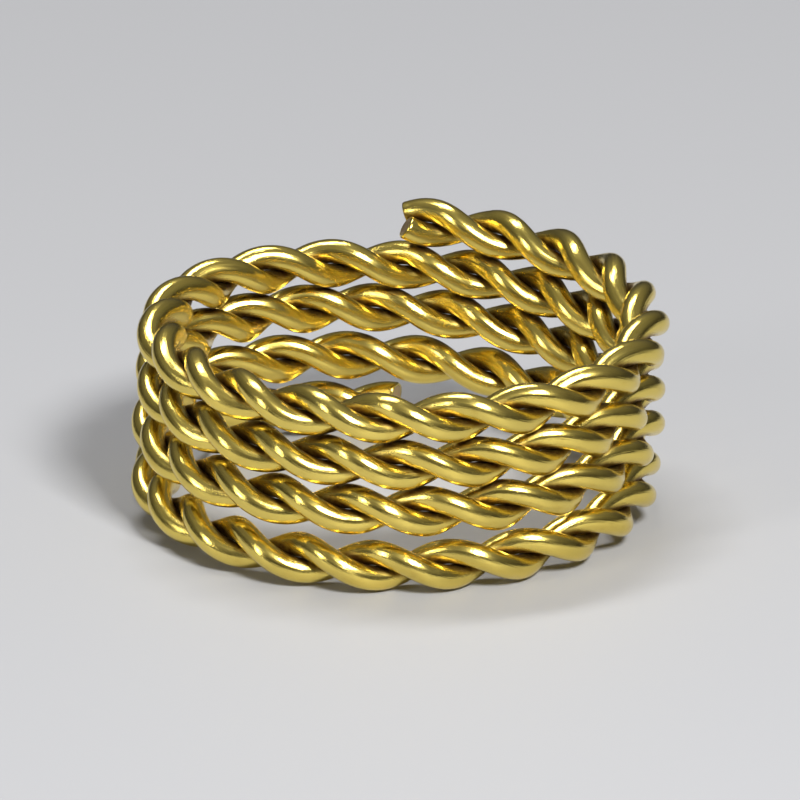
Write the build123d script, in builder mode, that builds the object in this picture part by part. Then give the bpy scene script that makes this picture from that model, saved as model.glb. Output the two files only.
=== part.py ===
from build123d import *
import os
from math import cos, pi, radians, sin, tan

# A braid hair ring: two round brass wires twisted into one rope, and the rope wound into a
# close coil of four rows that springs open over a braid. Nothing is soldered.
#
# Frame: millimetres, +Z up. The ring lies on its side as it rests by itself, with the origin
# at the bottom centre of its box. The rope's two cut ends are at the back, on +Y, one at the
# bottom and one at the top, and the widest gap between rows is at the front, on -Y.

# Driving dimensions
wire_diameter = 0.65
strand_gap = 0.04
mean_radius = 6.48
row_pitch = 1.3
front_gap = 0.26
row_count = 4
twist_pitch = 4.0

# The ring stands on its lower cut end and on the bottom row about half a turn further on, so
# its axis leans by these degrees to the front, -Y, and to the side, +X
lean_front = 2.7
lean_side = 2.8

# Facets: sides round a wire, and sections along one full twist
wire_sides = 6
sections_per_twist = 12

# Worked out from the dimensions above
strand_offset = (wire_diameter + strand_gap) / 2
rope_radius = strand_offset + wire_diameter / 2
twists_per_row = 2 * pi * mean_radius / twist_pitch
section_count = round(row_count * twists_per_row * sections_per_twist)
row_step = row_count / section_count

coil = Plane(
    origin=(0, 0, 0),
    x_dir=(1, 0, -tan(radians(lean_side))),
    z_dir=(tan(radians(lean_side)), -tan(radians(lean_front)), 1),
)


def rope_height(row):
    """Height of the rope's middle after this many rows, along the coil's axis."""
    opened = min(max(row - 0.5, 0), 1)
    return row_pitch * row + front_gap * opened


def strand_middle(row, phase):
    """Middle of one wire, which winds right-handed round the rope's own middle."""
    angle = pi / 2 + 2 * pi * row
    out = Vector(cos(angle), sin(angle), 0)
    along = Vector(-out.Y, out.X, row_pitch / (2 * pi * mean_radius)).normalized()
    twist = 2 * pi * twists_per_row * row + phase
    spoke = out * cos(twist) + along.cross(out) * sin(twist)
    middle = out * mean_radius + Vector(0, 0, rope_height(row)) + spoke * strand_offset
    return coil.from_local_coords(middle)


def wire_sections(phase):
    """Corners of each section of one wire: straight runs that meet in mitred sections."""
    middles = [strand_middle(index * row_step, phase) for index in range(section_count + 1)]
    runs = [(end - start).normalized() for start, end in zip(middles, middles[1:])]
    start_cut = Plane(middles[0], z_dir=runs[0])
    radius = wire_diameter / 2
    angles = [2 * pi * side / wire_sides for side in range(wire_sides)]
    corners = [start_cut.from_local_coords((radius * cos(a), radius * sin(a), 0)) for a in angles]
    sections = []
    for middle, run, next_run in zip(middles, runs[:1] + runs, runs + runs[-1:]):
        mitre = run + next_run
        corners = [
            corner + run * ((middle - corner).dot(mitre) / run.dot(mitre)) for corner in corners
        ]
        sections.append(corners)
    return sections


def closed_wire(sections):
    """A stretch of wire, closed by flat faces: its two ends and a facet for each run."""
    outlines = [sections[0], sections[-1]]
    for near, far in zip(sections, sections[1:]):
        for side in range(wire_sides):
            outlines.append([near[side - 1], near[side], far[side], far[side - 1]])
    faces = [Face(Wire.make_polygon(outline)) for outline in outlines]
    with BuildPart() as wire:
        add(Solid(Shell(faces)))
    return wire


# The two wires are on opposite sides of the rope, one above the other at its cut ends. Each
# whole wire is given as a lower and an upper half, which meet in one section at the back
halves = {}
for name, phase in {"wire_a": pi / 2, "wire_b": -pi / 2}.items():
    sections = wire_sections(phase)
    halves[name + "_lower"] = closed_wire(sections[: section_count // 2 + 1])
    halves[name + "_upper"] = closed_wire(sections[section_count // 2 :])

# Bring the bottom centre of the ring's box to the origin
box = Compound([half.part for half in halves.values()]).bounding_box()
to_origin = Location((-box.center().X, -box.center().Y, -box.min.Z))

os.makedirs("parts", exist_ok=True)
for name, half in halves.items():
    half.part = half.part.moved(to_origin)
    half.part.label = name
    export_step(half.part, f"parts/{name}.step")

print(f"outer diameter {2 * (mean_radius + rope_radius):.2f} mm")
print(f"inner diameter {2 * (mean_radius - rope_radius):.2f} mm")
print(f"sections along each wire {section_count + 1}, box {box.size}")
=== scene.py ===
from math import cos, hypot, pi, radians, sin, tan

import bpy
import numpy as np
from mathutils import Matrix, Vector


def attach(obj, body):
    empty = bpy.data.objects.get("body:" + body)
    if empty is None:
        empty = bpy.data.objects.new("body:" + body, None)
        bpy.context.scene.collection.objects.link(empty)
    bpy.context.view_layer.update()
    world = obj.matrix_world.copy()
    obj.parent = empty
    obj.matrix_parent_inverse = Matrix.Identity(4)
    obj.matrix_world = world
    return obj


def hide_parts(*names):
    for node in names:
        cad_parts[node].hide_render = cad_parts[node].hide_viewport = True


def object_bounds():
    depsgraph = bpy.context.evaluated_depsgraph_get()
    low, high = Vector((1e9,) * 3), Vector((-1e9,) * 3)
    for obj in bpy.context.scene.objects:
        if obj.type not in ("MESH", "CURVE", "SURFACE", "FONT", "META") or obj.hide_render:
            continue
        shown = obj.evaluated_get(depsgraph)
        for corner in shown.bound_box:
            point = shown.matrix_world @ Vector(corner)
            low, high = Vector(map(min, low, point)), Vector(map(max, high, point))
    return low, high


# The looks of a braid hair ring: two plated wires twisted into a rope, and the rope wound into
# a close coil of four rows. Metres, +Z up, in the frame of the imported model: the ring lies as
# it rests by itself, its cut ends are at the back, on +Y, and the camera looks from -Y.

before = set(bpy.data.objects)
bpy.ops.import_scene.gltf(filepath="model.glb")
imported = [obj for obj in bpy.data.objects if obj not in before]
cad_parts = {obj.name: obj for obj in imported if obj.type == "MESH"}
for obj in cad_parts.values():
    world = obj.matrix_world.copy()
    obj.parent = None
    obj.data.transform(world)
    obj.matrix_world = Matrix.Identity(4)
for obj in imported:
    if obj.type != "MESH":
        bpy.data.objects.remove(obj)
cad_low, cad_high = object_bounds()

MM = 0.001

# The construction's own dimensions. The wires press on each other along the twist, so here
# they all but touch, and the rope is as thick as the model's
WIRE_DIAMETER = 0.665 * MM
STRAND_GAP = 0.008 * MM
MEAN_RADIUS = 6.48 * MM
ROW_PITCH = 1.3 * MM
FRONT_GAP = 0.26 * MM
ROW_COUNT = 4
TWIST_PITCH = 4.0 * MM
LEAN_FRONT = radians(2.7)
LEAN_SIDE = radians(2.8)

WIRE_RADIUS = WIRE_DIAMETER / 2
STRAND_OFFSET = (WIRE_DIAMETER + STRAND_GAP) / 2
TWISTS_PER_ROW = 2 * pi * MEAN_RADIUS / TWIST_PITCH
STRAND_STRETCH = hypot(1, 2 * pi * STRAND_OFFSET / TWIST_PITCH)
WIRE_LENGTH_PER_ROW = 2 * pi * MEAN_RADIUS * STRAND_STRETCH

# Fineness of the round wires
SECTIONS_PER_TWIST = 44
WIRE_SIDES = 32

# The winder's hand: how far the rope strays from a perfect coil, and its twist from an even one
ROW_STRAY = 0.05 * MM
TWIST_STRAY = 0.22

# Marks of the tools on the wire: dents of the pliers' jaws and of handling
DENT_COUNT = 170
DENT_DEPTH = 0.018 * MM
DENT_SIZE = 0.17 * MM

# The nippers' cut: how far its edge is rounded over, and how rough its face is
CUT_ROUNDING = 0.06 * MM
CUT_ROUGHNESS = 0.014 * MM
CUT_STEPS = (0, 0.06, 0.22, 0.5, 1)
CUT_RINGS = 7

# Grooves get painted shade, a brown darkening, where other metal is nearer than this. A neighbour's
# nearest point is sought in this many steps over one twist
GROOVE_REACH = 0.3 * MM
NEIGHBOUR_STEPS = 15

# The plating where it is brighter, duller and worn, the painted shade in its grooves, and the bare cut
BRIGHT_GOLD = (0.88, 0.68, 0.155, 1)
DULL_GOLD = (0.8, 0.63, 0.15, 1)
WORN_GOLD = (0.68, 0.49, 0.1, 1)
# Painted shade: the brown that darkens closed-in grooves
GROOVE_SHADE_BROWN = (0.15, 0.08, 0.02, 1)
CUT_BRASS = (0.76, 0.56, 0.28, 1)

# The table and the studio round it
TABLE_HALF = 2.0
TABLE_GREY = (0.35, 0.352, 0.362, 1)
TABLE_PALE = (0.37, 0.371, 0.38, 1)
HORIZON = (0.03, 0.03, 0.034, 1)
CEILING = (0.5, 0.5, 0.52, 1)
SURROUND_STRENGTH = 0.42

# The camera's height over the horizontal, its distance from the point it aims at, and its lens
CAMERA_ELEVATION = radians(19)
CAMERA_DISTANCE = 0.25
CAMERA_AIM = (0, 0, 0.0031)
CAMERA_LENS = 420


def slow_wave(t, *waves):
    """A sum of sines, each given as its cycles in a unit of t, its share and its phase."""
    return sum(share * np.sin(2 * pi * cycles * t + phase) for cycles, share, phase in waves)


def coil_axes():
    """The coil's own x, y and z directions in the frame, as rows."""
    x_axis = np.array([1, 0, -tan(LEAN_SIDE)])
    z_axis = np.array([tan(LEAN_SIDE), -tan(LEAN_FRONT), 1])
    x_axis /= np.linalg.norm(x_axis)
    z_axis /= np.linalg.norm(z_axis)
    return np.array([x_axis, np.cross(z_axis, x_axis), z_axis])


def rope_axes(rows):
    """Directions outward from the coil's axis and sideways across the rope, at these rows."""
    angle = pi / 2 + 2 * pi * rows
    flat = np.zeros_like(rows)
    out = np.stack([np.cos(angle), np.sin(angle), flat], axis=1)
    climb = ROW_PITCH / (2 * pi * MEAN_RADIUS)
    along = np.stack([-out[:, 1], out[:, 0], flat + climb], axis=1) / hypot(1, climb)
    return out, np.cross(along, out)


def rope_middles(rows):
    """The rope's middle line, which strays a little in and out from row to row."""
    out, _ = rope_axes(rows)
    stray = slow_wave(rows, (1, 0.5, 0.4), (2, 0.35, 2.1), (0.3, 0.3, 5.0))
    radius = MEAN_RADIUS + ROW_STRAY * stray
    height = ROW_PITCH * rows + FRONT_GAP * np.clip(rows - 0.5, 0, 1)
    return out * radius[:, None] + np.outer(height, (0, 0, 1))


def strand_middles(rows, phase):
    """A wire's middle line, which winds right-handed round the rope's."""
    out, side = rope_axes(rows)
    stray = TWIST_STRAY * slow_wave(rows, (1, 0.5, 1.0), (3, 0.2, 3.7), (0.13, 0.4, 0.2))
    twist = 2 * pi * TWISTS_PER_ROW * rows + stray + phase
    spoke = out * np.cos(twist)[:, None] + side * np.sin(twist)[:, None]
    return rope_middles(rows) + spoke * STRAND_OFFSET


def section_rows():
    """Where a wire's sections are, in rows, with a few close together at each cut end."""
    count = round(ROW_COUNT * TWISTS_PER_ROW * SECTIONS_PER_TWIST)
    even = np.linspace(0, ROW_COUNT, count + 1)[1:-1]
    rounding = np.array(CUT_STEPS) * CUT_ROUNDING / WIRE_LENGTH_PER_ROW
    return np.concatenate([rounding, even, ROW_COUNT - rounding[::-1]])


def unit(vectors):
    """The vectors at length 1."""
    return vectors / np.linalg.norm(vectors, axis=-1, keepdims=True)


def carried_normals(tangents):
    """A direction across the line at each point, carried along it without twisting."""
    normal = np.cross(tangents[0], (0, 0, 1))
    normals = []
    for tangent in tangents:
        normal = unit(normal - tangent * (normal @ tangent))
        normals.append(normal)
    return np.array(normals)


def dents(lengths, angles, seed):
    """How far the wire's surface is pressed in by small dents at each length and angle."""
    chance = np.random.default_rng(seed)
    depth = np.zeros((len(lengths), len(angles)))
    for _ in range(DENT_COUNT):
        place = chance.uniform(0, lengths[-1])
        angle = chance.uniform(0, 2 * pi)
        size = DENT_SIZE * chance.uniform(0.5, 1.3)
        press = DENT_DEPTH * chance.uniform(0.2, 1)
        near = np.exp(-(((lengths - place) / size) ** 2))
        turn = (angles - angle + pi) % (2 * pi) - pi
        depth += press * np.outer(near, np.exp(-((turn * WIRE_RADIUS / size) ** 2)))
    return depth


def wire_rings(middles, lengths, seed):
    """Rings of points round a wire, their outward directions, and their places on the wire."""
    tangents = unit(np.gradient(middles, lengths, axis=0))
    normals = carried_normals(tangents)
    sideways = np.cross(tangents, normals)
    angles = 2 * pi * np.arange(WIRE_SIDES) / WIRE_SIDES
    spokes = normals[:, None] * np.cos(angles)[:, None] + sideways[:, None] * np.sin(angles)[:, None]
    from_end = np.minimum(lengths, lengths[-1] - lengths)
    into_cut = np.clip(1 - from_end / CUT_ROUNDING, 0, 1)
    rounded_off = CUT_ROUNDING * (1 - np.sqrt(1 - into_cut**2))
    radius = WIRE_RADIUS - rounded_off[:, None] - dents(lengths, angles, seed)
    points = middles[:, None] + spokes * radius[..., None]
    places = np.empty_like(points)
    places[..., 0] = lengths[:, None]
    places[..., 1] = WIRE_RADIUS * np.cos(angles)
    places[..., 2] = WIRE_RADIUS * np.sin(angles)
    return points, spokes, places, tangents


def groove_shares(points, spokes, rows, phase):
    """How closed in each point is: 0 in the open, 1 where it touches other metal."""
    above_surface = points + spokes * GROOVE_REACH / 2
    nearest = np.full(points.shape[:2], np.inf)
    window = np.linspace(-0.5, 0.5, NEIGHBOUR_STEPS) / TWISTS_PER_ROW
    for row_shift in (-1, 0, 1):
        for other_phase in (phase, phase + pi):
            if row_shift == 0 and other_phase == phase:
                continue
            for nudge in window:
                other_rows = rows + row_shift + nudge
                real = (other_rows >= 0) & (other_rows <= ROW_COUNT)
                middles = strand_middles(other_rows, other_phase)
                gap = np.linalg.norm(above_surface - middles[:, None], axis=2) - WIRE_RADIUS
                nearest = np.where(real[:, None], np.minimum(nearest, gap), nearest)
    return np.clip(1 - nearest / GROOVE_REACH, 0, 1)


def side_faces(ring_count):
    """Faces between neighbouring rings of a wire."""
    ring = np.arange(ring_count - 1)[:, None] * WIRE_SIDES
    side = np.arange(WIRE_SIDES)[None, :]
    next_side = (side + 1) % WIRE_SIDES
    corners = (ring + side, ring + next_side, ring + next_side + WIRE_SIDES, ring + side + WIRE_SIDES)
    return np.stack(corners, axis=-1).reshape(-1, 4).tolist()


def cut_face(rim, middle, outward, first_point, rim_start, flip):
    """A wire's end as the nippers left it: shallow shear lines across a flat cut."""
    points, faces = [], []
    across = unit(rim[0] - middle)
    outer = list(range(rim_start, rim_start + WIRE_SIDES))
    for ring in range(1, CUT_RINGS):
        spots = middle + (rim - middle) * (1 - ring / CUT_RINGS)
        shear = slow_wave((spots - middle) @ across / WIRE_DIAMETER, (2.3, 0.6, 0.3), (6.1, 0.4, 1.9))
        points.append(spots + np.outer(CUT_ROUGHNESS * shear, outward))
        inner = list(range(first_point, first_point + WIRE_SIDES))
        first_point += WIRE_SIDES
        for k in range(WIRE_SIDES):
            n = (k + 1) % WIRE_SIDES
            faces.append([outer[k], inner[k], inner[n], outer[n]])
        outer = inner
    points.append(middle[None])
    for k in range(WIRE_SIDES):
        faces.append([outer[k], first_point, outer[(k + 1) % WIRE_SIDES]])
    if flip:
        faces = [face[::-1] for face in faces]
    return np.concatenate(points), faces


def add_attribute(mesh, name, kind, field, values):
    """Gives a mesh's points a value each, for its material to read."""
    attribute = mesh.attributes.new(name, kind, "POINT")
    attribute.data.foreach_set(field, np.asarray(values, dtype=np.float32).ravel())


def wire(name, phase, seed):
    """One whole round wire of the rope, in the coil's own axes."""
    rows = section_rows()
    middles = strand_middles(rows, phase)
    steps = np.linalg.norm(np.diff(middles, axis=0), axis=1)
    lengths = np.concatenate([[0], np.cumsum(steps)])
    points, spokes, places, tangents = wire_rings(middles, lengths, seed)
    grooves = groove_shares(points, spokes, rows, phase)

    flat_points = [points.reshape(-1, 3)]
    flat_places = [places.reshape(-1, 3)]
    flat_grooves = [grooves.ravel()]
    flat_cuts = [np.zeros(grooves.size)]
    faces = side_faces(len(rows))
    first_point = grooves.size
    for end, outward in ((0, -tangents[0]), (len(rows) - 1, tangents[-1])):
        cut_points, cut_faces = cut_face(
            points[end], middles[end], outward, first_point, rim_start=end * WIRE_SIDES, flip=end > 0
        )
        first_point += len(cut_points)
        faces += cut_faces
        flat_points.append(cut_points)
        flat_places.append((cut_points - middles[end]) + (lengths[end], 0, 0))
        flat_grooves.append(np.zeros(len(cut_points)))
        flat_cuts.append(np.ones(len(cut_points)))

    mesh = bpy.data.meshes.new(name)
    mesh.from_pydata(np.concatenate(flat_points).tolist(), [], faces)
    mesh.shade_smooth()
    add_attribute(mesh, "place_mm", "FLOAT_VECTOR", "vector", np.concatenate(flat_places) / MM)
    add_attribute(mesh, "groove", "FLOAT", "value", np.concatenate(flat_grooves))
    add_attribute(mesh, "cut", "FLOAT", "value", np.concatenate(flat_cuts))
    obj = bpy.data.objects.new(name, mesh)
    bpy.context.scene.collection.objects.link(obj)
    return obj


def mesh_points(obj):
    """An object's mesh points, one in a row."""
    points = np.empty(len(obj.data.vertices) * 3)
    obj.data.vertices.foreach_get("co", points)
    return points.reshape(-1, 3)


def stand_on_model(wires):
    """Turns the coil's own axes to the frame, and brings the ring to the model's place."""
    turned = [mesh_points(obj) @ coil_axes() for obj in wires]
    low = np.min([points.min(axis=0) for points in turned], axis=0)
    high = np.max([points.max(axis=0) for points in turned], axis=0)
    place = (np.array(cad_low) + np.array(cad_high)) / 2
    shift = place - (low + high) / 2
    shift[2] = cad_low.z - low[2]
    for obj, points in zip(wires, turned):
        obj.data.vertices.foreach_set("co", (points + shift).astype(np.float32).ravel())
        obj.data.update()


class Nodes:
    """Short ways to add and join a material's nodes."""

    def __init__(self, material):
        material.use_nodes = True
        self.tree = material.node_tree
        self.shader = self.tree.nodes["Principled BSDF"]

    def add(self, kind, inputs=None, **settings):
        node = self.tree.nodes.new(kind)
        for key, value in settings.items():
            setattr(node, key, value)
        for key, value in (inputs or {}).items():
            if isinstance(value, bpy.types.NodeSocket):
                self.tree.links.new(value, node.inputs[key])
            else:
                node.inputs[key].default_value = value
        return node

    def attribute(self, name, output="Fac"):
        return self.add("ShaderNodeAttribute", attribute_name=name).outputs[output]

    def noise(self, vector, scale, detail=2.0, roughness=0.5):
        inputs = {"Vector": vector, "Scale": scale, "Detail": detail, "Roughness": roughness}
        return self.add("ShaderNodeTexNoise", inputs).outputs["Fac"]

    def ramp(self, value, low, high, to_low=0.0, to_high=1.0):
        inputs = {"Value": value, "From Min": low, "From Max": high, "To Min": to_low, "To Max": to_high}
        return self.add("ShaderNodeMapRange", inputs, clamp=True).outputs["Result"]

    def math(self, operation, a, b):
        return self.add("ShaderNodeMath", {0: a, 1: b}, operation=operation).outputs[0]

    def mix(self, share, a, b):
        node = self.add("ShaderNodeMix", {"Factor": share, "A": a, "B": b}, data_type="RGBA")
        return node.outputs["Result"]

    def stretch(self, vector, scale):
        inputs = {"Vector": vector, "Scale": scale}
        return self.add("ShaderNodeMapping", inputs).outputs["Vector"]


def gold_plate():
    """Gold-coloured plating on brass wire: fine lines along it, worn patches and painted shade in its
    grooves.
    """
    material = bpy.data.materials.new("gold_plate")
    n = Nodes(material)
    place = n.attribute("place_mm", "Vector")
    groove = n.attribute("groove")
    cut = n.attribute("cut")

    cloudy = n.noise(n.stretch(place, (0.35, 1.2, 1.2)), 1.0, 3.0)
    spotty = n.noise(n.stretch(place, (3.0, 4.0, 4.0)), 1.0, 4.0, 0.65)
    lines = n.noise(n.stretch(place, (0.5, 15.0, 15.0)), 1.0, 3.0, 0.6)
    grain = n.noise(place, 26.0, 2.0)

    tone = n.mix(n.ramp(cloudy, 0.35, 0.65), BRIGHT_GOLD, DULL_GOLD)
    tone = n.mix(n.ramp(spotty, 0.55, 0.78, 0, 0.65), tone, WORN_GOLD)
    # Painted shade: closed-in grooves are darkened to brown in uneven patches, and the same share
    # roughens them
    painted_groove_shade_share = n.math("MULTIPLY", n.ramp(groove, 0.15, 0.85), n.ramp(spotty, 0.25, 0.6, 0.55, 1))
    tone = n.mix(painted_groove_shade_share, tone, GROOVE_SHADE_BROWN)
    tone = n.mix(cut, tone, CUT_BRASS)
    n.tree.links.new(tone, n.shader.inputs["Base Color"])

    rough = n.ramp(lines, 0.3, 0.7, 0.14, 0.26)
    rough = n.math("ADD", rough, n.ramp(painted_groove_shade_share, 0, 1, 0, 0.22))
    rough = n.math("ADD", rough, n.ramp(cut, 0, 1, 0, 0.16))
    n.tree.links.new(rough, n.shader.inputs["Roughness"])
    n.shader.inputs["Metallic"].default_value = 1

    fine = n.add("ShaderNodeBump", {"Height": lines, "Strength": 0.5, "Distance": 0.018 * MM})
    rest = {"Height": grain, "Strength": 0.4, "Distance": 0.008 * MM, "Normal": fine.outputs["Normal"]}
    bump = n.add("ShaderNodeBump", rest)
    n.tree.links.new(bump.outputs["Normal"], n.shader.inputs["Normal"])
    return material


def table_top():
    """A pale matt table."""
    material = bpy.data.materials.new("table_top")
    n = Nodes(material)
    place = n.add("ShaderNodeNewGeometry").outputs["Position"]
    soft = n.noise(place, 9.0, 2.0)
    tone = n.mix(soft, TABLE_GREY, TABLE_PALE)
    n.tree.links.new(tone, n.shader.inputs["Base Color"])
    n.shader.inputs["Roughness"].default_value = 0.6
    return material


def floor():
    """The plain pale table under the ring."""
    half = TABLE_HALF
    corners = [(-half, -half, 0), (half, -half, 0), (half, half, 0), (-half, half, 0)]
    mesh = bpy.data.meshes.new("floor")
    mesh.from_pydata(corners, [], [(0, 1, 2, 3)])
    mesh.materials.append(table_top())
    obj = bpy.data.objects.new("floor", mesh)
    bpy.context.scene.collection.objects.link(obj)


def soft_box(name, place, width, height, power):
    """An area light that faces the ring."""
    light = bpy.data.lights.new(name, "AREA")
    light.shape = "RECTANGLE"
    light.size = width
    light.size_y = height
    light.energy = power
    obj = bpy.data.objects.new(name, light)
    obj.location = place
    obj.rotation_euler = (-Vector(place)).to_track_quat("-Z", "Y").to_euler()
    bpy.context.scene.collection.objects.link(obj)


def studio():
    """Soft light from the front, above and the left, and a surround that darkens to the horizon."""
    soft_box("key", (0.09, -0.19, 0.2), 0.065, 0.065, 1.25)
    soft_box("top", (-0.04, 0.08, 0.26), 0.15, 0.035, 0.42)
    soft_box("side", (-0.2, -0.17, 0.12), 0.04, 0.12, 0.18)
    world = bpy.data.worlds.new("studio")
    world.use_nodes = True
    nodes, links = world.node_tree.nodes, world.node_tree.links
    direction = nodes.new("ShaderNodeTexCoord").outputs["Generated"]
    split = nodes.new("ShaderNodeSeparateXYZ")
    links.new(direction, split.inputs[0])
    ramp = nodes.new("ShaderNodeValToRGB")
    ramp.color_ramp.elements[0].position = 0
    ramp.color_ramp.elements[0].color = HORIZON
    ramp.color_ramp.elements[1].position = 0.8
    ramp.color_ramp.elements[1].color = CEILING
    links.new(split.outputs["Z"], ramp.inputs[0])
    links.new(ramp.outputs["Color"], nodes["Background"].inputs["Color"])
    nodes["Background"].inputs["Strength"].default_value = SURROUND_STRENGTH
    bpy.context.scene.world = world
    bpy.context.scene.view_settings.view_transform = "Standard"


def camera():
    """Looks at the ring from the front, a little from above, as the photograph does."""
    data = bpy.data.cameras.new("camera")
    data.sensor_width = 36
    data.lens = CAMERA_LENS
    data.clip_start = 0.01
    data.clip_end = 10
    obj = bpy.data.objects.new("camera", data)
    back = Vector((0, -cos(CAMERA_ELEVATION), sin(CAMERA_ELEVATION)))
    obj.location = Vector(CAMERA_AIM) + back * CAMERA_DISTANCE
    obj.rotation_euler = (-back).to_track_quat("-Z", "Y").to_euler()
    bpy.context.scene.collection.objects.link(obj)
    bpy.context.scene.camera = obj


camera()
studio()
floor()

wire_a = wire("wire_a", pi / 2, seed=11)
wire_b = wire("wire_b", -pi / 2, seed=12)
stand_on_model([wire_a, wire_b])
plating = gold_plate()
for piece in (wire_a, wire_b):
    piece.data.materials.append(plating)
    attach(piece, "root")
    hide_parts(piece.name + "_lower", piece.name + "_upper")
